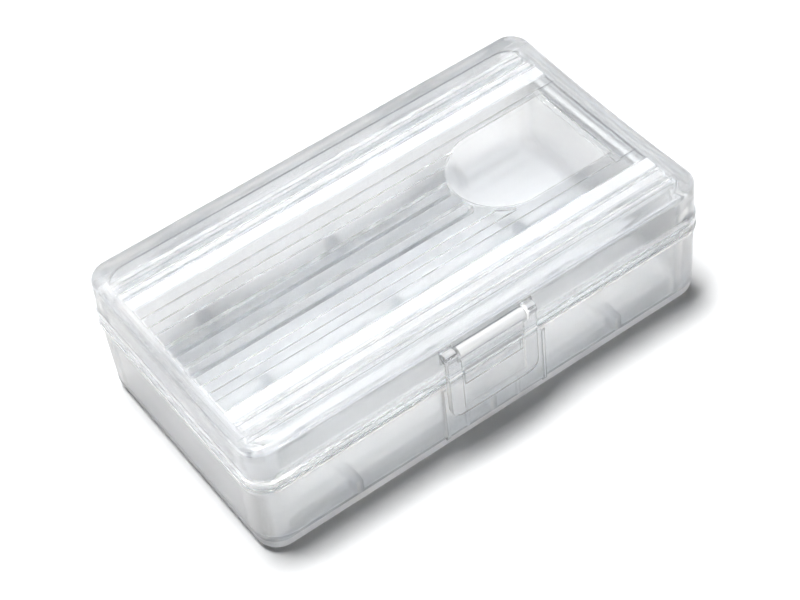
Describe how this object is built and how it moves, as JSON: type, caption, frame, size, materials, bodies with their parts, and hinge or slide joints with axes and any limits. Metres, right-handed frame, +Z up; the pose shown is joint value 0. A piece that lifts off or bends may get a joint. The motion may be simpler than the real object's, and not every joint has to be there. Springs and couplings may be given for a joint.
{
  "type": "battery storage case",
  "caption": "Translucent hinged case for cylindrical cells: base tray with cradle ribs, ribbed lid with a thumb pad, and a swinging snap latch.",
  "frame": {"origin": "middle of the case's underside, on the surface it stands on", "axes": "+X along the length towards the thumb pad, -Y to the latch side, +Y to the hinge side, +Z up"},
  "size_m": [0.076, 0.0471, 0.0223],
  "materials": {
    "natural_pp": "undyed translucent polypropylene, injection moulded, glossy outside, slightly milky in thick sections"
  },
  "bodies": {
    "tray_body": {"base_tray": "natural_pp"},
    "lid_body": {"lid": "natural_pp"},
    "latch_body": {"snap_latch": "natural_pp"}
  },
  "joints": [
    {"name": "lid_hinge", "type": "hinge", "parent": "tray_body", "child": "lid_body", "pos_m": [0, 0.02315, 0.01417], "axis": [-1, 0, 0], "range_deg": [0, 180]},
    {"name": "latch_hinge", "type": "hinge", "parent": "lid_body", "child": "latch_body", "pos_m": [-0.0004, -0.02152, 0.0193], "axis": [-1, 0, 0], "range_deg": [0, 120]}
  ]
}
